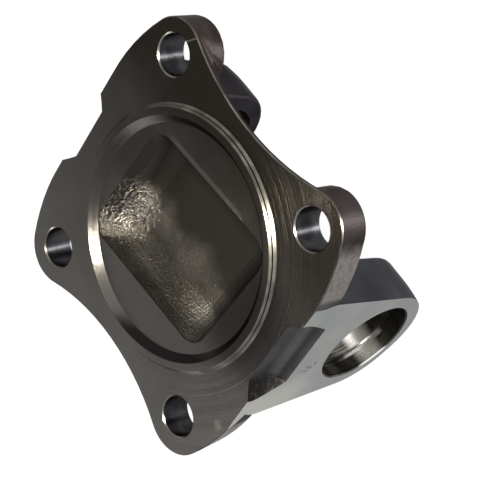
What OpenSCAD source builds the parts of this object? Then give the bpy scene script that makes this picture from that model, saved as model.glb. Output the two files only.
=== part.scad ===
// Flange yoke of a driveshaft: one forging with a four-lobed bolting flange,
// a raised pilot ring and two ears that hold the bearing caps of a joint cross.
// The shaft axis is Y with the mating face at Y = 0 and the ears behind it.
// The bearing bores run along Z.

/* [Flange] */
// Diameter of the circle through the bolt holes
bolt_circle = 95.25; // [80:0.05:120]
// Angle between the two bolt holes that stand beside one ear
bolt_pair_angle = 100; // [80:1:110]
// Diameter of a bolt hole
bolt_hole = 11.1; // [8:0.1:14]
// Chamfer at both ends of a bolt hole
bolt_hole_chamfer = 0.35; // [0:0.05:1]
// Thickness of the flange at its lobes
flange_thickness = 9.5; // [6:0.1:14]
// Radius of the lobes around their bolt holes, at the -X and the +X side
lobe_radius = [9.8, 10.6]; // [8.5:0.1:12]
// Where the brow of each side leaves the machined ear face, as a distance from the shaft axis
brow_start = [22.3, 25.4]; // [20:0.1:27]
// Radius of the brow between the ear face and a lobe
brow_radius = 55; // [40:1:200]
// Width of the flange at the waist of its two open sides
waist_width = 80.4; // [76:0.1:86]
// Height of the upright rim at the waist, behind which the flange slopes inwards
waist_rim = 1; // [0.5:0.1:3]
// Slope of the flange behind the waist, in degrees from the shaft axis
waist_slope = 42; // [30:1:50]
// Rounding of the flange's rear edge
rear_edge_radius = 1.4; // [0.5:0.1:3]
// Draft of the forged flange edge at each side, in degrees
edge_draft = [0.5, 7]; // [0:0.5:8]
// Break of the edge around the mating face
face_edge = 0.3; // [0.1:0.05:0.8]

/* [Pilot] */
// Diameter of the raised pilot ring
pilot_diameter = 69.85; // [60:0.05:76]
// Height of the pilot ring above the mating face
pilot_height = 1.6; // [1:0.1:4]
// Width of the ring's flat top, with its outer chamfer
pilot_land = 2.5; // [1.5:0.1:5]
// Depth of the turned recess, from the top of the ring
recess_depth = 2; // [1:0.1:4]
// Width of the recess's conical side
recess_cone = 2.1; // [0.5:0.1:4]
// Chamfer around the top of the ring
pilot_chamfer = 0.5; // [0.2:0.05:0.8]
// Cone at the foot of the ring, where it meets the mating face
pilot_foot = 0.6; // [0.2:0.05:1]

/* [Forged hollow] */
// Length of the hollow, along the bearing bores
hollow_length = 48.6; // [36:0.2:54]
// Width of the hollow
hollow_width = 39.6; // [28:0.2:42]
// Depth of the hollow, from the mating face
hollow_depth = 8.5; // [5:0.1:10]
// Radius between the hollow's sides and its bottom
hollow_radius = 8; // [6:0.2:9]
// Radius of the hollow's corners, seen from the front
hollow_corner = 6; // [3:0.2:8]
// How far the hollow's sides lean out of square, in degrees
hollow_skew = 3.8; // [-6:0.2:6]

/* [Ears] */
// Distance over the two machined ear faces
ear_span = 88.9; // [80:0.1:100]
// Distance between the inner faces of the ears
ear_gap = 59.6; // [50:0.1:66]
// Distance from the mating face to the axis of the bearing bores
bore_height = 36; // [32:0.1:44]
// Diameter of a bearing bore
bearing_bore = 27; // [22:0.01:29]
// Radius of the two arcs of the ear's round end
ear_end_radius = 16.7; // [15.5:0.1:20]
// Where the centre of the -X and of the +X arc stands along X, from the bore's axis
ear_end_shift = [-1.4, 1.3]; // [-3:0.1:3]
// How far the centre of the -X and of the +X arc stands above the bore's axis
ear_end_rise = [0.9, -0.5]; // [-2:0.1:2]
// How far the ear is rounded in towards its machined outer face
ear_barrel = 0.6; // [0.2:0.1:3]
// Rounding of the ear's inner edge
ear_inner_radius = 1.6; // [0.5:0.1:4]
// Half width of the ear's foot on the machined face, at the -X and the +X side
ear_foot = [22.3, 20.7]; // [18:0.1:25]
// Height of the saddle between the ears above the mating face
saddle_height = 16; // [13:0.1:19]
// Radius between the saddle and an ear
saddle_radius = 11; // [6:0.5:14]

/* [Snap ring grooves] */
// Distance from the machined ear face to the groove
groove_inset = 3.9; // [2:0.1:6]
// Width of the groove
groove_width = 1.6; // [1:0.05:2.5]
// Depth of the groove in the bore's wall
groove_depth = 0.9; // [0.4:0.05:1.5]

/* [Side notches] */
// Length of the -Z and of the +Z notch along the flange's edge, on the machined face
notch_length = [25.6, 29.4]; // [18:0.2:32]
// How far the middle of the -Z and of the +Z notch stands off the shaft axis
notch_shift = [3.1, -1.2]; // [-4:0.1:4]
// Depth of a notch below the machined face
notch_depth = 3.4; // [1.5:0.1:5]
// Length of the ramp at the -X end and at the +X end of a notch
notch_ramp = [3.6, 5.1]; // [1.5:0.1:7]
// How far a notch reaches back from the mating face
notch_reach = 11; // [6:0.5:14]

/* [Hidden] */
$fn = 96;
// Length by which a cutter passes the surface it cuts
clear = 1;
// Overlap that joins two shapes which only touch
bite = 0.02;

// Machined ear faces, bolt holes and lobes; a side is -1 or 1 along X
face_z = ear_span / 2;
hole_x = bolt_circle / 2 * sin(bolt_pair_angle / 2);
hole_z = bolt_circle / 2 * cos(bolt_pair_angle / 2);
function of_side(pair, side) = pair[(side + 1) / 2];
function lobe_r(side) = of_side(lobe_radius, side);

// Hollow arc of an open side at the mating face, which runs smoothly into the two lobes beside it
waist_x = waist_width / 2;
lobe_reach = hole_x - waist_x;
function side_arc(side) = let (r = lobe_r(side))
    (lobe_reach * lobe_reach + hole_z * hole_z - r * r) / (2 * (r + lobe_reach));
// Brow: an arc from beyond the machined ear face that meets the lobe smoothly
lobe_centre = [hole_x, hole_z];
brow_overrun = 6;
function brow_foot(side) = [of_side(brow_start, side), face_z];
function brow_centre(side) =
    let (foot = brow_foot(side), gap = norm(foot - lobe_centre), u = (foot - lobe_centre) / gap,
        near = brow_radius - lobe_r(side),
        along = (near * near - brow_radius * brow_radius + gap * gap) / (2 * gap),
        off = sqrt(max(0, near * near - along * along)))
    lobe_centre + u * along + [u.y, -u.x] * (u.x < 0 ? -off : off);
function heading(v) = atan2(v.y, v.x);

// How far the flange's edge, and its slope behind a waist, have drawn in at a depth
edge_run = flange_thickness - rear_edge_radius;
function edge_lean(side, y) = y * tan(of_side(edge_draft, side));
function edge_in(side, y) = y < face_edge ? face_edge - y
    : y <= edge_run ? edge_lean(side, y)
    : edge_lean(side, edge_run) + rear_edge_radius
        - sqrt(max(0, rear_edge_radius * rear_edge_radius - (y - edge_run) * (y - edge_run)));
function waist_in(side, y) = y <= waist_rim ? edge_in(side, y)
    : edge_lean(side, waist_rim) + (y - waist_rim) * tan(waist_slope);

// Outline of a quarter of the flange at a depth: brow, lobe, hollow arc of the waist
function arc(c, r, from, to, steps, first = 0) = [for (i = [first : steps])
    let (a = from + (to - from) * i / steps) c + r * [cos(a), sin(a)]];
function quarter(side, y) =
    let (c = brow_centre(side), r = lobe_r(side) - edge_in(side, y),
        s = [waist_x + side_arc(side), 0], big = side_arc(side) + waist_in(side, y),
        v = s - lobe_centre, gap = norm(v),
        crest = heading(lobe_centre - c),
        last = heading(v) - acos(min(1, (r * r + gap * gap - big * big) / (2 * r * gap))),
        corner = lobe_centre + r * [cos(last), sin(last)])
    concat(arc(c, brow_radius - edge_in(side, y), heading(brow_foot(side) - c) + brow_overrun, crest, 6),
        arc(lobe_centre, r, crest, heading(v) + 6, 13, 1),
        arc(lobe_centre, r, heading(v) + 6, last, 5, 1),
        arc(s, big, heading(corner - s), 180, 7, 1));
function half(side, y) = let (q = quarter(side, y))
    [each q, for (i = [len(q) - 2 : -1 : 0]) [q[i].x, -q[i].y]];
function outline(y) = let (minus = half(-1, y))
    [each half(1, y), for (i = [len(minus) - 1 : -1 : 0]) [-minus[i].x, minus[i].y]];
depths = concat([0, face_edge, waist_rim, (waist_rim + edge_run) / 2],
    [for (a = [0 : 30 : 90]) edge_run + rear_edge_radius * sin(a)]);

// Pilot ring
pilot_r = pilot_diameter / 2;
recess_r = pilot_r - pilot_land;
floor_r = recess_r - recess_cone;
floor_y = recess_depth - pilot_height;
ring_sink = 1;

// Ears: a disc is widest between the inner rounding and the barrelled outer part
ear_inner = ear_gap / 2;
ear_thickness = face_z - ear_inner;
barrel_run = ear_thickness / 2;
barrel_turn = 2 * atan(ear_barrel / barrel_run);
barrel_r = barrel_run / sin(barrel_turn);
foot_y = 8;
foot_r = 10.4;
foot_sink = 3;
function foot_x(side) = of_side(ear_foot, side) - foot_r + ear_barrel;

// Saddle between the ears
saddle_edge = 3;
saddle_top = saddle_height + saddle_radius;
saddle_foot = max(ear_foot) + 0.2;
saddle_lean = 0.19;
saddle_wall = 6;
saddle_fillet = 4;

// Turns what is drawn around Z into a shape around the shaft axis, rising to the rear
module around_shaft(x = 0, z = 0) {
    translate([x, 0, z]) rotate([-90, 0, 0]) children();
}

module four_holes() {
    for (sx = [-1, 1], sz = [-1, 1])
        around_shaft(sx * hole_x, sz * hole_z) children();
}

// Flange without its holes, as slices from the mating face to the back
module flange_plate() {
    ring = len(outline(0));
    q = (ring + 2) / 4;
    last = len(depths) - 1;
    hub = [hole_x * 0.65, hole_z * 0.72];
    cap = [[0, 0], hub, [hub.x, -hub.y], -hub, [-hub.x, hub.y]];
    starts = [0, q - 1, 2 * q - 1, 3 * q - 2];
    points = concat([for (y = depths) each [for (p = outline(y)) [p.x, y, p.y]]],
        [for (y = [0, flange_thickness]) each [for (p = cap) [p.x, y, p.y]]]);
    function face(a, b, c, back) = back ? [a, b, c] : [a, c, b];
    band = [for (k = [0 : last - 1], i = [0 : ring - 1]) let (a = k * ring + i, b = k * ring + (i + 1) % ring)
        each [[a, b + ring, b], [a, a + ring, b + ring]]];
    caps = [for (back = [false, true])
        let (at = back ? last * ring : 0, mid = (last + 1) * ring + (back ? len(cap) : 0),
            rim = [0, mid + 1, q - 1, mid + 2, 2 * q - 2, 2 * q - 1, mid + 3, 3 * q - 2, mid + 4, ring - 1])
            each concat(
                [for (j = [0 : 3], i = [0 : q - 2])
                    face(mid + j + 1, at + starts[j] + i + 1, at + starts[j] + i, back)],
                [for (i = [0 : len(rim) - 1]) let (a = rim[i], b = rim[(i + 1) % len(rim)])
                    face(mid, b < mid ? b + at : b, a < mid ? a + at : a, back)])];
    polyhedron(points, concat(band, caps), convexity = 6);
}

// Raised ring, its foot sunk in the flange: conical inner side, flat top, chamfer, pilot and foot cone
module pilot_ring() {
    around_shaft() rotate_extrude($fn = 144)
        polygon([[floor_r - ring_sink, ring_sink + floor_y], [floor_r, floor_y], [recess_r, -pilot_height],
            [pilot_r - pilot_chamfer, -pilot_height], [pilot_r, pilot_chamfer - pilot_height],
            [pilot_r, -pilot_foot], [pilot_r + pilot_foot, 0], [pilot_r, ring_sink + floor_y]]);
}

// Recess that is turned from the flange before the ring stands around it
module recess() {
    around_shaft() translate([0, 0, -clear])
        cylinder(clear + floor_y, (floor_r + recess_r) / 2, (floor_r + recess_r) / 2, $fn = 144);
}

// Forged hollow in the middle of the face, with tighter corners at its mouth than at its bottom
function skewed(x, z) = [x - z * tan(hollow_skew), z - x * tan(hollow_skew)];
module hollow() {
    inset = hollow_radius + 0.5;
    hull()
        for (sx = [-1, 1], sz = [-1, 1]) {
            mouth = skewed(sx * (hollow_width / 2 - hollow_corner), sz * (hollow_length / 2 - hollow_corner));
            bottom = skewed(sx * (hollow_width / 2 - inset), sz * (hollow_length / 2 - inset));
            around_shaft(mouth.x, mouth.y) translate([0, 0, -clear])
                cylinder(clear + floor_y + 0.3, hollow_corner, hollow_corner, $fn = 32);
            translate([bottom.x, hollow_depth - hollow_radius, bottom.y])
                sphere(hollow_radius, $fn = 32);
        }
}

// Disc of an ear's outline: inner rounding, widest part and barrelled outer part
module ear_disc(r) {
    inner = [for (a = [0 : 22.5 : 90])
        [r - ear_inner_radius * (1 - sin(a)), ear_inner_radius * (1 - cos(a))]];
    outer = [for (i = [0 : 4]) let (a = barrel_turn * i / 4)
        [r - barrel_r * (1 - cos(a)), ear_thickness - barrel_run + barrel_r * sin(a)]];
    translate([0, 0, ear_inner]) rotate_extrude($fn = 40)
        polygon(concat([[0, 0]], inner, outer, [[0, ear_thickness]]));
}

// Ear with its foot sunk in the flange
module ear() {
    difference() {
        hull() {
            for (s = [-1, 1]) {
                translate([of_side(ear_end_shift, s), bore_height + of_side(ear_end_rise, s), 0])
                    ear_disc(ear_end_radius);
                translate([s * foot_x(s), foot_y, 0]) ear_disc(foot_r);
            }
        }
        translate([-bolt_circle, -bolt_circle, 0])
            cube([2 * bolt_circle, bolt_circle + foot_sink, bolt_circle]);
    }
}

// Half width of the saddle at a height above the mating face
function saddle_w(y) = saddle_foot - saddle_lean * (y - flange_thickness);

// One slice of the saddle's inner and outer walls, at an inset from its side and a drop of its surface
saddle_turns = [for (a = [0 : 15 : 90]) a];
function saddle_half(drop) = [for (a = saddle_turns)
    [ear_inner + bite - saddle_radius + (saddle_radius + drop) * cos(a), saddle_top - (saddle_radius + drop) * sin(a)]];
function saddle_back() = [for (a = saddle_turns)
    [min(ear_inner + saddle_wall, ear_inner - saddle_radius + (saddle_top - foot_y / 2) * cos(a)),
     saddle_top - (saddle_top - foot_y / 2) * sin(a)]];
function mirrored(half) = concat(half, [for (i = [len(half) - 1 : -1 : 0]) [-half[i].x, half[i].y]]);
function saddle_slice(side, inset, drop) = [for (p = concat(mirrored(saddle_half(drop)), mirrored(saddle_back())))
    [side * (saddle_w(p.y) - inset), p.y, p.x]];

// Saddle as slices from side to side, its edges rounded by the slices' inset and drop
module saddle() {
    turns = [for (a = [90 : -22.5 : 0]) a];
    slices = concat(
        [for (a = turns) saddle_slice(-1, saddle_edge * (1 - sin(a)), saddle_edge * (1 - cos(a)))],
        [for (i = [len(turns) - 1 : -1 : 0]) let (a = turns[i])
            saddle_slice(1, saddle_edge * (1 - sin(a)), saddle_edge * (1 - cos(a)))]);
    ring = len(slices[0]);
    half = ring / 2;
    last = len(slices) - 1;
    points = [for (s = slices) each s];
    function quad(a, b, c, d) = [[a, c, b], [a, d, c]];
    inner = [for (k = [0 : last - 1], i = [0 : half - 2])
        each quad(k * ring + i, (k + 1) * ring + i, (k + 1) * ring + i + 1, k * ring + i + 1)];
    outer = [for (k = [0 : last - 1], i = [half : ring - 2])
        each quad(k * ring + i, k * ring + i + 1, (k + 1) * ring + i + 1, (k + 1) * ring + i)];
    ends = [for (k = [0 : last - 1], i = [0, half - 1])
        each i == 0
            ? quad(k * ring, k * ring + half, (k + 1) * ring + half, (k + 1) * ring)
            : quad(k * ring + half - 1, (k + 1) * ring + half - 1, (k + 1) * ring + ring - 1, k * ring + ring - 1)];
    caps = [for (i = [0 : half - 2])
        each concat(quad(i, i + 1, half + i + 1, half + i),
            quad(last * ring + i, last * ring + half + i, last * ring + half + i + 1, last * ring + i + 1))];
    polyhedron(points, concat(inner, outer, ends, caps), convexity = 4);
}

// Concave corner between the saddle's sides and the back of the flange
module saddle_corner() {
    length = 2 * face_z - 7;
    corner_x = saddle_foot + saddle_fillet;
    translate([0, flange_thickness, -length / 2]) linear_extrude(length)
        polygon(concat([[saddle_foot - 4, -clear], [corner_x, -clear]],
            [for (a = [0 : 15 : 90])
                [corner_x - saddle_fillet * sin(a), saddle_fillet * (1 - cos(a))]],
            [[saddle_foot - 4, saddle_fillet]]));
}

// Notch scooped from the flange's edge below an ear: a flat floor that curves up to the ear face,
// with a ramp at each end
module notch(middle, length) {
    curve_run = notch_reach * 0.55;
    flat_run = notch_reach - curve_run;
    curve_r = (curve_run * curve_run + notch_depth * notch_depth) / (2 * notch_depth);
    end_r = 4;
    low = middle - length / 2;
    high = middle + length / 2;
    floor_low = low + notch_ramp[0];
    floor_high = high - notch_ramp[1];
    hull() {
        translate([floor_low, flat_run, face_z - notch_depth + curve_r]) rotate([0, 90, 0])
            cylinder(floor_high - floor_low, curve_r, curve_r, $fn = 48);
        translate([floor_low, -clear, face_z - notch_depth])
            cube([floor_high - floor_low, clear, curve_r]);
        for (x = [low, high])
            translate([x, flat_run / 4, face_z + end_r]) rotate([0, 90, 0])
                cylinder(bite, end_r, end_r, $fn = 32);
    }
}

// Bolt hole with a chamfer at the mating face and at the back
module bolt_hole_cut() {
    r = bolt_hole / 2;
    c = bolt_hole_chamfer;
    rotate_extrude($fn = 64)
        polygon([[0, -clear], [r + c + clear, -clear], [r, c], [r, flange_thickness - c],
            [r + c + clear, flange_thickness + clear], [0, flange_thickness + clear]]);
}

// Bearing bore through both ears
module bearing_bore_cut() {
    chamfer = 0.35;
    r = bearing_bore / 2;
    translate([0, bore_height, 0]) {
        cylinder(ear_span + 2 * clear, r, r, center = true);
        for (s = [0, 1]) mirror([0, 0, s]) {
            translate([0, 0, face_z - chamfer])
                cylinder(chamfer + clear, r, r + chamfer + clear);
            translate([0, 0, face_z - groove_inset - groove_width])
                cylinder(groove_width, r + groove_depth, r + groove_depth);
        }
    }
}

// The forging before it is machined
module forging() {
    flange_plate();
    for (s = [0, 1])
        mirror([0, 0, s]) ear();
    saddle();
    for (s = [0, 1])
        mirror([s, 0, 0]) saddle_corner();
}

module flange_yoke() {
    color([0.36, 0.34, 0.33])
        difference() {
            union() {
                difference() {
                    forging();
                    recess();
                }
                pilot_ring();
            }
            four_holes() bolt_hole_cut();
            bearing_bore_cut();
            hollow();
            notch(notch_shift[1], notch_length[1]);
            mirror([0, 0, 1]) notch(notch_shift[0], notch_length[0]);
            for (s = [0, 1])
                mirror([0, 0, s]) translate([-bolt_circle, -bolt_circle / 2, face_z])
                    cube([2 * bolt_circle, 2 * bolt_circle, bolt_circle]);
        }
}

flange_yoke();
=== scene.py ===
# %% [markdown]
# # A driveshaft flange yoke, dressed for its picture
#
# The part is one steel forging. Its shape is already finished in the imported model, so
# Blender's work here is mostly the surface: which areas the machinist cut bright, and
# which kept the dark skin of the forge.
#
# Some tones of the photograph may be light and not metal, such as a stripe or a dark
# corner. A lamp for each would change everything else too, so these tones are painted at
# their place on the part. They stay there in any other light, and a comment that starts
# with Painted stands at each.
#
# The frame is the imported model's: the shaft axis is Y, the mating face looks to -Y, and
# the bearing bores run along Z. Meshes are in metres, and the patterns count millimetres.

# %% Load the frame and list its nodes
import math

import bmesh
import bpy
from mathutils import Matrix, Vector, noise


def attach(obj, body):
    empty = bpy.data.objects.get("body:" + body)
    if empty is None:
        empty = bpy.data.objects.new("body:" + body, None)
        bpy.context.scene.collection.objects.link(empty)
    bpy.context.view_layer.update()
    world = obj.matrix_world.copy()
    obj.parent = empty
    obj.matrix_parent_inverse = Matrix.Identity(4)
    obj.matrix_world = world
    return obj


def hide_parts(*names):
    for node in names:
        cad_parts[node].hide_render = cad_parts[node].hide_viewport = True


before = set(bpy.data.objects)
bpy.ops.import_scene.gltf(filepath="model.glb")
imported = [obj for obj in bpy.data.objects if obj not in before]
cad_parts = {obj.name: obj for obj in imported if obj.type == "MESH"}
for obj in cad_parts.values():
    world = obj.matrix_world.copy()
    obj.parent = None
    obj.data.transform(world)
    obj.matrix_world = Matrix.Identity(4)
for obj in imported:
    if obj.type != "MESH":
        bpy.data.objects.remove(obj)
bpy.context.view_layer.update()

MM = 0.001
print("nodes:", sorted(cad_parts))

# %% [markdown]
# ## The camera
#
# The photograph looks past the mating face at one ear, with the picture turned so far that
# the part seems to hang. The place, the view direction and the roll could be found by eye,
# but a small error in any of them shows at once in a ring or a hole. They come from fitting
# a pinhole camera to the bolt holes, the pilot ring and the bearing bore, so they are numbers.

# %% Place the camera
EYE = Vector((-265.37, -305.62, 188.69)) * MM
LOOK = Vector((0.57770, 0.71064, -0.40155))
RIGHT = Vector((-0.46173, 0.69019, 0.55717))

camera_data = bpy.data.cameras.new("camera")
camera_data.lens = 129.31
camera_data.sensor_width = 36
camera = bpy.data.objects.new("camera", camera_data)
bpy.context.scene.collection.objects.link(camera)
turn = Matrix((RIGHT, RIGHT.cross(LOOK), -LOOK)).transposed()
camera.matrix_world = Matrix.Translation(EYE) @ turn.to_4x4()
bpy.context.scene.camera = camera
print("camera:", round(EYE.length / MM), "mm from the mating face's centre")

# %% [markdown]
# ## Shader maths as Python
#
# A material is a graph of small nodes. Written out by hand such a graph is hard to read,
# so one small class wraps a socket: its operators add Math nodes, and `add` makes any
# other node from its type, its settings and what goes into its sockets.

# %% The socket wrapper
class Wire:
    """A socket in a shader tree, whose operators add Math nodes."""

    def __init__(self, tree, socket=None):
        self.tree = tree
        self.socket = socket

    def add(self, kind, settings=None, inputs=None, out=0):
        node = self.tree.nodes.new(kind)
        for name, value in (settings or {}).items():
            setattr(node, name, value)
        for name, value in (inputs or {}).items():
            if isinstance(value, Wire):
                self.tree.links.new(value.socket, node.inputs[name])
            else:
                node.inputs[name].default_value = value
        return Wire(self.tree, node.outputs[out])

    def math(self, operation, first, second=0.0, clamp=False):
        settings = {"operation": operation, "use_clamp": clamp}
        return self.add("ShaderNodeMath", settings, {0: first, 1: second})

    def __add__(self, other):
        return self.math("ADD", self, other)

    def __radd__(self, other):
        return self.math("ADD", other, self)

    def __sub__(self, other):
        return self.math("SUBTRACT", self, other)

    def __rsub__(self, other):
        return self.math("SUBTRACT", other, self)

    def __mul__(self, other):
        return self.math("MULTIPLY", self, other)

    def __rmul__(self, other):
        return self.math("MULTIPLY", other, self)

    def abs(self):
        return self.math("ABSOLUTE", self)

    def root(self):
        return self.math("SQRT", self)

    def clamp(self):
        return self.math("ADD", self, 0.0, clamp=True)

    def rise(self, low, high):
        """0 below low and 1 above high, with a smooth step between."""
        return self.add("ShaderNodeMapRange", {"interpolation_type": "SMOOTHSTEP"},
                        {"Value": self, "From Min": low, "From Max": high})

    def between(self, start, full, fade, end):
        """1 from full to fade and 0 before start and after end, with smooth steps."""
        return self.rise(start, full) * (1 - self.rise(fade, end))

    def noise(self, scale, detail, rough):
        """Noise read at this place, with a scale in cells per millimetre."""
        return self.add("ShaderNodeTexNoise", None,
                        {"Vector": self, "Scale": scale, "Detail": detail, "Roughness": rough})

    def grooves(self, scale, detail):
        """Noise that changes with this one value alone, as tool marks do."""
        return self.add("ShaderNodeTexNoise", {"noise_dimensions": "1D"},
                        {"W": self, "Scale": scale, "Detail": detail, "Roughness": 0.6})

    def tint(self, low, high):
        """Colour that runs from low to high as this value goes from 0 to 1."""
        first, second = (c if isinstance(c, Wire) else (*c, 1) for c in (low, high))
        return self.add("ShaderNodeMix", {"data_type": "RGBA"}, {0: self, 6: first, 7: second}, out=2)

    def over(self, below, above):
        """Lay the colour above on the colour below where this mask is 1."""
        return self.tint(below, above)


print("socket wrapper ready")

# %% [markdown]
# ## One start for every finish
#
# Each finish of the yoke reads the same things: the place on the part in millimetres and
# the distance from the shaft axis. They come from Object coordinates, so a pattern stays
# on the metal from any side. The light edge that polished metal has at a low angle is
# turned down, because scale and oil dull it.

# %% Start a material
DULL_EDGE = (0.5, 0.5, 0.5, 1)


class Finish:
    """A material being made: its shader and the places that its pattern reads."""

    def __init__(self, name, metallic=1.0):
        self.material = bpy.data.materials.new(name)
        self.material.use_nodes = True
        self.tree = self.material.node_tree
        self.shader = self.tree.nodes["Principled BSDF"]
        self.shader.inputs["Metallic"].default_value = metallic
        self.shader.inputs["Specular Tint"].default_value = DULL_EDGE
        metres = Wire(self.tree).add("ShaderNodeTexCoord", out="Object")
        self.mm = metres.add("ShaderNodeVectorMath", {"operation": "SCALE"}, {0: metres, "Scale": 1 / MM})
        self.x, self.y, self.z = (self.mm.add("ShaderNodeSeparateXYZ", None, {0: self.mm}, axis)
                                  for axis in "XYZ")
        self.shaft = (self.x * self.x + self.z * self.z).root()

    def finish(self, **sockets):
        """Feed the shader's sockets and hand over the material."""
        for socket, wire in sockets.items():
            self.tree.links.new(wire.socket, self.shader.inputs[socket.replace("_", " ")])
        print("finish:", self.material.name, "from", len(self.tree.nodes), "nodes")
        return self.material

    def bump(self, height, distance, after=None):
        """A Bump node for a height from 0 to 1 that stands for distance millimetres."""
        inputs = {"Height": height, "Distance": distance * MM}
        if after:
            inputs["Normal"] = after
        return height.add("ShaderNodeBump", None, inputs)

    def spot(self, place, reach, blur, ragged=0.0):
        """1 around a place on the part and 0 beyond its reach, with a soft or ragged rim."""
        away = self.mm.add("ShaderNodeVectorMath", {"operation": "DISTANCE"}, {0: self.mm, 1: place}, "Value")
        if ragged:
            away = away + (self.mm.noise(0.6, 4, 0.65) - 0.5) * ragged
        return 1 - away.rise(reach - blur, reach + blur)

    def scratch(self, start, end, width):
        """1 on a straight scratch in the mating face, from start to end in X and Z."""
        length = math.dist(start, end)
        ux, uz = (end[0] - start[0]) / length, (end[1] - start[1]) / length
        dx, dz = self.x - start[0], self.z - start[1]
        beside = (dx * uz - dz * ux).abs()
        along = dx * ux + dz * uz
        return (1 - beside.rise(width * 0.4, width)) * along.between(-0.5, 0.5, length - 2, length)


print("finish starter ready, edge tint", DULL_EDGE[0])

# %% [markdown]
# ## Turned steel
#
# The mating face, the ring and its recess are turned on a lathe. They are dark and
# slightly warm, as oiled steel is, with grooves that run round the shaft axis. The grooves
# could be cut into the mesh, but they are far finer than any face of it. They are a bump
# that changes with the distance from the shaft alone. It tilts the surface only outwards
# and inwards, which draws a lamp out into a streak across the rings.

# %% Machined mating face, pilot ring and recess
GROOVES_PER_MM = 23.0
GROOVE_DEPTH = 0.013
HOLLOW_X = 20.5
HOLLOW_SKEW = 0.0664
RECESS_FLOOR_R = (29.0, 30.0)
CONE_R = (30.2, 30.5, 32.3, 32.6)
CRESCENT_REACH = (25.0, 29.5)
LARGE_PAINTED_SHADE = ((-2.0, 0.4, 29.0), 15.0, 7.0)
SMALL_PAINTED_SHADE = ((-6.0, 0.4, -27.0), 8.0, 5.0)
LINE_WIDTH = (0.3, 1.0)
LINE_Z = (-21.0, -15.0, 8.0, 15.0)
CHIP = ((26.6, 0.0, 41.6), 1.2, 0.8, 3.0)
SCRATCH = ((-41.6, -29.6), (-46.2, -26.4), 0.30)


def turned_steel():
    f = Finish("turned_steel")
    cloud = f.mm.noise(0.045, 4, 0.6)

    # Painted light: the face gets lighter towards +X, and painted shade darkens two areas of the recess
    lighter = (f.x * 0.0125 + 0.42 + (cloud - 0.5) * 0.4).clamp()
    film_and_painted_light = lighter.tint((0.0150, 0.0133, 0.0113), (0.072, 0.069, 0.066))
    painted_shade = f.spot(*LARGE_PAINTED_SHADE) + f.spot(*SMALL_PAINTED_SHADE) * 0.5
    shaded_face = (painted_shade * 0.75).over(film_and_painted_light, (0.010, 0.009, 0.009))

    # Painted shade: a dark crescent on the +X side of the recess cone
    crescent = f.shaft.between(*CONE_R) * (f.x * 0.87 + f.z * 0.50).rise(*CRESCENT_REACH)
    turned = crescent.over(shaded_face, (0.013, 0.010, 0.011))

    # Painted highlight: a light line on the recess floor along the hollow's -X edge
    from_edge = (f.x + f.z * HOLLOW_SKEW + HOLLOW_X).abs()
    line = (1 - from_edge.rise(*LINE_WIDTH)) * f.z.between(*LINE_Z)
    line = line * (1 - f.shaft.rise(*RECESS_FLOOR_R))
    lined = (line * 0.7).over(turned, (0.060, 0.057, 0.052))

    # A chip and a scratch show lighter metal
    marks = (f.spot(*CHIP) + f.scratch(*SCRATCH) * 0.7).clamp()
    return f.finish(Base_Color=marks.over(lined, (0.105, 0.095, 0.08)),
                    Roughness=0.20 + cloud * 0.08,
                    Normal=f.bump(f.shaft.grooves(GROOVES_PER_MM, 0.0), GROOVE_DEPTH))


turned = turned_steel()

# %% [markdown]
# ## Worn edges
#
# The sharp edges that a tool leaves are rubbed bright by hands, boxes and other parts. A
# mask from the mesh's curvature could find these edges, but here the chamfers are real
# faces, so they simply get a lighter metal of their own.

# %% Edges that handling has worn bright
def worn_edge():
    f = Finish("worn_edge")
    rub = f.mm.noise(0.10, 4, 0.6)
    return f.finish(Base_Color=rub.rise(0.35, 0.7).tint((0.055, 0.052, 0.046), (0.16, 0.155, 0.14)),
                    Roughness=0.20 + rub * 0.10)


worn = worn_edge()

# %% [markdown]
# ## Milled ear faces
#
# The two ear faces are milled flat and left bare, the lightest broad surfaces of the part.
# They carry faint smudges and, on the ear at +Z, five small pits in two rows. The pits
# could be holes in the mesh. As they are about a millimetre wide, spots that darken the
# metal and dent it through the bump are enough.

# %% Machined ear faces
FACE_Z = 44.45
PITS = [(3.2, 18.6), (4.6, 17.6), (5.9, 16.8), (4.1, 16.2), (5.6, 15.2)]
PIT_SIZES = [0.5, 0.45, 0.45, 0.45, 0.45]
PIT_DEPTH = 0.15
LIGHT_X = (4.0, 18.0)
LIGHT_END_Y = (12.0, 30.0)
SHADE_Y = (30, 55)


def milled_steel():
    f = Finish("milled_steel")
    smudge = f.mm.noise(0.09, 5, 0.6)
    haze = f.mm.noise(0.5, 4, 0.6)
    pits = 0.0
    for (x, y), size in zip(PITS, PIT_SIZES):
        pits = (pits + f.spot((x, y, FACE_Z), size, 0.4)).clamp()

    # Painted light: the face is lighter at +X beside the flange, and painted shade darkens the ear's tip
    near_flange = f.x.rise(*LIGHT_X) * (1 - f.y.rise(*LIGHT_END_Y)) * 0.6
    light = smudge * 0.30 + haze * 0.14 + near_flange - f.y.rise(*SHADE_Y) * 0.12
    clean = light.rise(0.0, 0.9).tint((0.26, 0.272, 0.275), (0.43, 0.43, 0.41))
    return f.finish(Base_Color=(pits * 0.7).over(clean, (0.06, 0.058, 0.055)),
                    Roughness=0.38 + smudge * 0.16,
                    Normal=f.bump(1 - pits, PIT_DEPTH))


milled = milled_steel()

# %% [markdown]
# ## Reamed bearing bores
#
# The bearing bores are reamed to size, so they shine and show what is around them. The
# reamer's marks are rings that change along the bore's axis. One side of the near bore is
# painted dark as shade, and a narrow band on the other is a painted reflection, nearly
# white. Both are probably reflections, and they are painted where they show.

# %% Reamed bearing bores
BORE_HEIGHT = 36.0
BAND_REACH = (12.7, 13.45)
SHINY_X = (1.0, 8.0)


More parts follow.
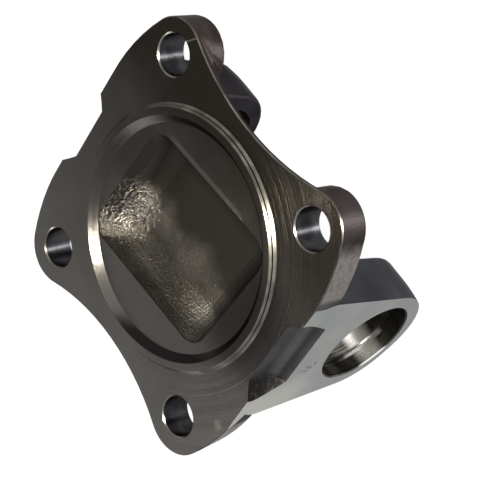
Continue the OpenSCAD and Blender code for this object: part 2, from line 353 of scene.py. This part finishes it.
def reamed_steel():
    f = Finish("reamed_steel")
    rings = f.z.grooves(1.1, 4.0)
    stain = f.mm.noise(0.12, 4, 0.6)

    # Painted shade on the dark side, and a painted reflection: the nearly white band on the other
    shine = (rings * 0.5 + stain * 0.5).rise(0.38, 0.62) * f.x.rise(*SHINY_X)
    streaky = shine.tint((0.045, 0.043, 0.040), (0.34, 0.32, 0.28))
    band = (f.x * 0.65 + (f.y - BORE_HEIGHT) * 0.76).rise(*BAND_REACH)
    return f.finish(Base_Color=band.over(streaky, (0.88, 0.87, 0.85)),
                    Roughness=0.18 + stain * 0.12,
                    Normal=f.bump(rings, 0.02))


reamed = reamed_steel()

# %% [markdown]
# ## Drilled bolt holes
#
# The bolt holes are only drilled, and darker than the bores. The drill's marks run round
# the hole, so they change along the hole's axis, which is the part's Y.

# %% Drilled bolt holes
def drilled_steel():
    f = Finish("drilled_steel")
    stain = f.mm.noise(0.15, 4, 0.6)
    return f.finish(Base_Color=stain.rise(0.35, 0.65).tint((0.020, 0.019, 0.021), (0.052, 0.051, 0.054)),
                    Roughness=0.24 + stain * 0.12,
                    Normal=f.bump(f.y.grooves(1.6, 3.0), 0.02))


drilled = drilled_steel()

# %% [markdown]
# ## Forged skin
#
# What no tool has touched keeps the skin of the forge: dark blue-grey scale on the ears, a
# browner scale with a breath of rust on the flange's edge, and lighter metal on that edge
# beside the ear at +Z. Separate materials would meet in jagged steps along the mesh's long
# triangles, so one material tells these areas apart by their place.

# %% Scale of the forge
EAR_Z = (-12, 12)
EAR_Y = (18, 44)
NOTCH_TOP_Y = (9.5, 11.5)
NOTCH_Z = (40.4, 41.2)
SCOOP_Y = (8.2, 9.6)
TORN_X = (7.5, 9.0)
RIM_TOP_Y = (9.0, 10.5)
RIM_X = (23.0, 25.5)
LIGHTER_EDGE_Z = (39.4, 41.4)


def forged_skin():
    f = Finish("forged_skin")
    cloud = f.mm.noise(0.08, 5, 0.62)
    fleck = f.mm.noise(0.8, 4, 0.65)
    grain = f.mm.noise(1.3, 3, 0.6)
    patchy = cloud.rise(0.35, 0.65)

    # Painted light: the ear at +Z is lighter than the one at -Z, and most so at its tip
    low_ear = patchy.tint((0.017, 0.015, 0.018), (0.027, 0.025, 0.029))
    height = patchy * 0.5 + f.y.rise(*EAR_Y) * 0.5
    high_ear = height.tint((0.032, 0.033, 0.038), (0.056, 0.058, 0.066))
    ears = f.z.rise(*EAR_Z).over(low_ear, high_ear)

    # Painted light on each notch's lighter floor, and painted shade in the dark scoop behind it
    notch = (1 - f.y.rise(*NOTCH_TOP_Y)) * f.z.abs().rise(*NOTCH_Z)
    floor = patchy.tint((0.058, 0.058, 0.061), (0.080, 0.080, 0.084))
    scoop = f.y.rise(*SCOOP_Y).over(floor, (0.030, 0.029, 0.031))

    # The notch at +Z ends in torn metal on its +X side
    flecks = fleck.rise(0.5, 0.75).tint((0.016, 0.015, 0.015), (0.060, 0.057, 0.054))
    torn = (f.x * f.z.rise(-1, 1)).rise(*TORN_X)
    notched = notch.over(ears, torn.over(scoop, flecks))

    # The flange's edge is brown and rusty, and lighter beside the ear at +Z
    rim = (1 - f.y.rise(*RIM_TOP_Y)) * f.x.abs().rise(*RIM_X)
    scale = patchy.tint((0.023, 0.017, 0.016), (0.046, 0.039, 0.039))
    rusty = (fleck.rise(0.60, 0.72) * 0.5).over(scale, (0.085, 0.045, 0.030))
    lighter_edge = (f.z + (cloud - 0.5) * 2.5).rise(*LIGHTER_EDGE_Z) * (0.62 + fleck.rise(0.3, 0.6) * 0.38)
    edge = lighter_edge.over(rusty, (0.22, 0.205, 0.195))
    return f.finish(Base_Color=rim.over(notched, edge),
                    Roughness=0.34 + cloud * 0.18,
                    Normal=f.bump(grain, 0.05, f.bump(cloud, 0.3)))


forged = forged_skin()

# %% [markdown]
# ## The forged hollow
#
# The middle of the face was pressed in by a die and never machined. Its lumps are real
# shape, made on the mesh further on, and the finish adds the fine pitting between them.
# The side near the -X wall is smooth and dark, the rest is pitted, and a patch at one
# corner glitters. Grains finer than a pixel blur into an even grey, so that patch has a
# coarser bump of its own.

# %% Rough forged hollow
PITTED_X = (-1.0, 8.0)
GLITTER_PATCH = ((10.5, 4.5, -22.0), 8.5, 2.5, 7.0)
DARK_END = ((-9.0, 4.0, -23.0), 12.0, 5.0)
DARKEST_Z = (-23.0, -20.5)
WALL_X = (9.0, 14.0)
WALL_TOP_X = (16.3, 18.3)
DIM_Z = (-16.0, -9.0, 4.0, 12.0)
LIGHT_Z = (10.0, 17.0)


def rough_hollow():
    f = Finish("rough_hollow", metallic=0.95)
    cloud = f.mm.noise(0.10, 5, 0.6)
    pitted = (f.x + (cloud - 0.5) * 14).rise(*PITTED_X)
    glitter = f.spot(*GLITTER_PATCH)
    dark_end = f.spot(*DARK_END)
    grain = f.mm.noise(1.9, 3, 0.6)
    scab = f.mm.noise(0.95, 1, 0.5)

    # Painted shade: the +X wall is dim in its middle, and painted light makes it lighter towards +Z
    rough = cloud.rise(0.35, 0.65).tint((0.028, 0.026, 0.022), (0.042, 0.039, 0.034))
    wall = f.x.rise(*WALL_X)
    dim = wall * (1 - f.x.rise(*WALL_TOP_X)) * f.z.between(*DIM_Z)
    dimmed = (dim * 0.8).over(rough, (0.009, 0.0085, 0.0075))
    sides = (wall * f.z.rise(*LIGHT_Z)).over(dimmed, (0.058, 0.055, 0.050))

    # Painted shade on the dark smooth side and at the dark end, and a painted highlight on the light patch
    shade = glitter.over(pitted.over((0.0125, 0.0115, 0.0100), sides), (0.088, 0.083, 0.074))
    black = (1 - f.z.rise(*DARKEST_Z)).tint((0.0065, 0.0060, 0.0052), (0.024, 0.023, 0.021))
    pitting = f.bump(grain * (0.06 + pitted * 0.26), 0.85)
    return f.finish(Base_Color=dark_end.over(shade, black),
                    Roughness=0.44 + dark_end * 0.16 - pitted * 0.14 - glitter * 0.12,
                    Normal=f.bump(scab * glitter, 0.75, pitting))


rough = rough_hollow()

# %% [markdown]
# ## Which face gets which finish
#
# A machinist's drawing marks each surface with the tool that makes it. The script does the
# same: from the place of a face and the way it looks, it tells which tool cut it. Painting
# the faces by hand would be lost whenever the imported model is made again. The limits on
# the normal are cosines: above 0.99 a face is square to its axis, and about 0.7 is a
# chamfer.

# %% Sort the faces by how they were made
FINISHES = [turned, worn, milled, reamed, drilled, forged, rough]
TURNED, WORN, MILLED, REAMED, DRILLED, FORGED, ROUGH = range(len(FINISHES))
PILOT_R = 34.925
CONE_FOOT_R = 29.9
RECESS_Y = 0.41
EAR_INNER_Z = 30
BORE_REACH = 14.6
HOLE_REACH = 6.0
BOLT_R = 47.625
BOLT_ANGLE = math.radians(40)
HOLES = [(side * BOLT_R * math.cos(BOLT_ANGLE), end * BOLT_R * math.sin(BOLT_ANGLE))
         for side in (-1, 1) for end in (-1, 1)]
HOLLOW_Y = 9
HOLLOW_Z = 25
HOLLOW_R = 30


def finish_of(face):
    p = face.calc_center_median() / MM
    n = face.normal
    around = math.hypot(p.x, p.z)
    if abs(p.z) > FACE_Z - 0.01 and abs(n.z) > 0.999:
        return MILLED
    if math.hypot(p.x, p.y - BORE_HEIGHT) < BORE_REACH and abs(p.z) > EAR_INNER_Z and abs(n.z) < 0.8:
        return REAMED
    in_hole = any(math.hypot(p.x - x, p.z - z) < HOLE_REACH for x, z in HOLES)
    if in_hole and abs(n.y) < 0.8:
        return DRILLED if abs(n.y) < 0.3 else WORN
    chamfer = -0.8 < n.y < -0.5
    if chamfer and PILOT_R - 0.7 < around < PILOT_R + 0.8 and p.y < 0:
        return WORN
    if p.y < 0.5 and (n.y < -0.99 or around < PILOT_R + 1):
        return TURNED if n.y < -0.5 or p.y < RECESS_Y and around > CONE_FOOT_R else ROUGH
    if p.y < HOLLOW_Y and abs(p.x) < HOLLOW_X and abs(p.z) < HOLLOW_Z and around < HOLLOW_R:
        return ROUGH
    if chamfer and p.y < 0.3:
        return WORN
    return FORGED


print("finishes:", [finish.name for finish in FINISHES])

# %% [markdown]
# ## Lumps of the forge
#
# A bump alone only shades, so the hollow's lumps are modelled. Its faces are first cut
# along two rows of planes into cells of about a millimetre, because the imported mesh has
# only large flat ones there. Each point inside the hollow then moves along its normal by
# a noise of the place, which is the same in every run, and the rim stays where it is.

# %% Cut the hollow into small cells and push them about
CELL = 1.1
CUTS = [(Vector((1, 0, 0)), 22), (Vector((0, 0, 1)), 27)]
LUMPS = [(0.30, 0.07), (0.85, 0.045)]
LEAST_LUMP = 0.15


def forge_lumps(bm):
    def hollow():
        return [face for face in bm.faces if face.material_index == ROUGH]

    for axis, reach in CUTS:
        for step in range(int(-reach / CELL), int(reach / CELL) + 1):
            faces = hollow()
            edges = {edge for face in faces for edge in face.edges}
            verts = {vert for face in faces for vert in face.verts}
            bmesh.ops.bisect_plane(bm, geom=[*verts, *edges, *faces], dist=1e-6,
                                   plane_co=axis * (step + 0.5) * CELL * MM, plane_no=axis)
    bmesh.ops.triangulate(bm, faces=hollow())
    bm.normal_update()
    inner = [v for v in bm.verts if v.link_faces and all(f.material_index == ROUGH for f in v.link_faces)]
    moves = []
    for vert in inner:
        # Full lumps on the +X side, faint ones towards the smooth -X wall
        strength = min(1, max(LEAST_LUMP, 0.5 + vert.co.x / MM / 12))
        lump = sum(noise.noise(vert.co / MM * pitch) * height for pitch, height in LUMPS)
        moves.append(vert.normal * lump * strength * MM)
    for vert, move in zip(inner, moves):
        vert.co += move
    print("hollow:", len(hollow()), "faces,", len(inner), "points moved")


# %% [markdown]
# ## The yoke as one clean mesh
#
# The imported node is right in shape, but its triangles are loose and flat, so a rounded
# forging would show its facets. A merged copy with smooth shading, sharp only where the
# tools cut an edge, takes its place. Weighted normals keep the light even on the large
# flats and leave the turn to the small faces at their rims.

# %% Build the yoke
SAME_POINT = 2e-6
SHARP = math.radians(24)


def make_yoke(source):
    mesh = bpy.data.meshes.new("yoke")
    bm = bmesh.new()
    bm.from_mesh(source.data)
    bmesh.ops.remove_doubles(bm, verts=bm.verts, dist=SAME_POINT)
    for face in bm.faces:
        face.smooth = True
        face.material_index = finish_of(face)
    forge_lumps(bm)
    for edge in bm.edges:
        in_hollow = all(face.material_index == ROUGH for face in edge.link_faces)
        closed = len(edge.link_faces) == 2
        edge.smooth = closed and (in_hollow or edge.calc_face_angle() < SHARP)
    bm.to_mesh(mesh)
    print("yoke:", len(bm.faces), "faces,", sum(len(e.link_faces) != 2 for e in bm.edges), "open edges")
    bm.free()
    for finish in FINISHES:
        mesh.materials.append(finish)
    yoke = bpy.data.objects.new("yoke", mesh)
    bpy.context.scene.collection.objects.link(yoke)
    even = yoke.modifiers.new("even_shading", "WEIGHTED_NORMAL")
    even.keep_sharp = True
    even.weight = 80
    return yoke


yoke = make_yoke(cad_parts["flange_yoke"])
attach(yoke, "root")
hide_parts("flange_yoke")

# %% [markdown]
# ## The floor
#
# The photograph's ground is plain white. A brighter lamp could bleach a floor to white, but
# it would bleach the part too. The floor instead glows white to the camera, to mirror-like
# rays and through glass, so the metal shows a white studio. Under the glow these rays see
# dark grey paper, so that the lamps on it don't brighten what the metal mirrors. To all
# other rays the floor is pale paper that doesn't glow.

# %% Floor
FLOOR_SIZE = 4
FLOOR_GAP = 0.0001
GLOW = (0.84, 0.84, 0.84)
DARK_PAPER = (0.12, 0.12, 0.12)
PALE_PAPER = (0.8, 0.8, 0.8)


def direct_rays(tree):
    """1 for rays from the camera, off a mirror or through glass, and 0 for others."""
    path = Wire(tree)
    seen, mirrored, through = (path.add("ShaderNodeLightPath", out=kind) for kind in
                               ("Is Camera Ray", "Is Glossy Ray", "Is Transmission Ray"))
    return (seen + mirrored + through).clamp()


def paper_floor():
    material = bpy.data.materials.new("paper")
    material.use_nodes = True
    tree = material.node_tree
    shader = tree.nodes["Principled BSDF"]
    shader.inputs["Roughness"].default_value = 0.9
    shader.inputs["Emission Strength"].default_value = 1.0
    direct = direct_rays(tree)
    glow = direct.tint((0, 0, 0), GLOW)
    paper = direct.tint(PALE_PAPER, DARK_PAPER)
    tree.links.new(glow.socket, shader.inputs["Emission Color"])
    tree.links.new(paper.socket, shader.inputs["Base Color"])
    mesh = bpy.data.meshes.new("floor")
    bm = bmesh.new()
    bmesh.ops.create_grid(bm, x_segments=1, y_segments=1, size=FLOOR_SIZE)
    bmesh.ops.translate(bm, verts=bm.verts, vec=(0, 0, -FACE_Z * MM - FLOOR_GAP))
    bm.to_mesh(mesh)
    bm.free()
    mesh.materials.append(material)
    floor = bpy.data.objects.new("floor", mesh)
    bpy.context.scene.collection.objects.link(floor)
    print("floor:", FLOOR_GAP / MM, "mm under the lower ear's face")


paper_floor()

# %% [markdown]
# ## The world
#
# The world stands for the studio's white walls. As with the floor, the camera and
# mirror-like rays see it at full white. Other rays meet it at half strength, and the lamps
# add the rest of the light.

# %% World
world = bpy.data.worlds.new("studio")
world.use_nodes = True
bpy.context.scene.world = world
sky = world.node_tree.nodes["Background"]
walls = direct_rays(world.node_tree).tint((0.5, 0.5, 0.5), (1, 1, 1))
world.node_tree.links.new(walls.socket, sky.inputs["Color"])
print("world:", world.name)

# %% [markdown]
# ## The lamps
#
# Polished metal shows a lamp as a shape, so the lamps are placed by what they draw. The eye
# lamp, near the camera, lights two sides of the pilot ring and the near bearing bore. The
# small front lamp draws the streak over the lobe at -X +Z and lights the hollow. The window
# lights another arc of the ring and the lobe at +X +Z. The rear lamp draws a bright dash in
# the bolt holes and lights the sides of the ears.

# %% Lamps
def lamp(name, place, size, energy, colour=(1, 1, 1)):
    data = bpy.data.lights.new(name, "AREA")
    data.shape = "RECTANGLE"
    data.size, data.size_y = size
    data.energy = energy
    data.color = colour
    unit = bpy.data.objects.new(name, data)
    bpy.context.scene.collection.objects.link(unit)
    aim = (-place).to_track_quat("-Z", "Y").to_matrix().to_4x4()
    unit.matrix_world = Matrix.Translation(place) @ aim
    unit.visible_camera = False
    print("lamp:", name, round(place.length, 2), "m away,", energy, "W")


def toward(x, y, z, distance):
    return Vector((x, y, z)).normalized() * distance


WARM = (1.0, 0.93, 0.80)
lamp("eye_lamp", toward(-0.55, -0.71, 0.43, 0.75), (0.07, 0.07), 20, WARM)
lamp("front_lamp", Vector((0.008, -0.445, -0.026)), (0.05, 0.02), 3.2, WARM)
lamp("window", toward(0.88, -0.45, 0.12, 0.70), (0.50, 0.30), 4)
lamp("rear_lamp", toward(-0.575, 0.711, 0.40, 0.80), (0.12, 0.12), 2.2)

bpy.context.scene.view_settings.view_transform = "Standard"
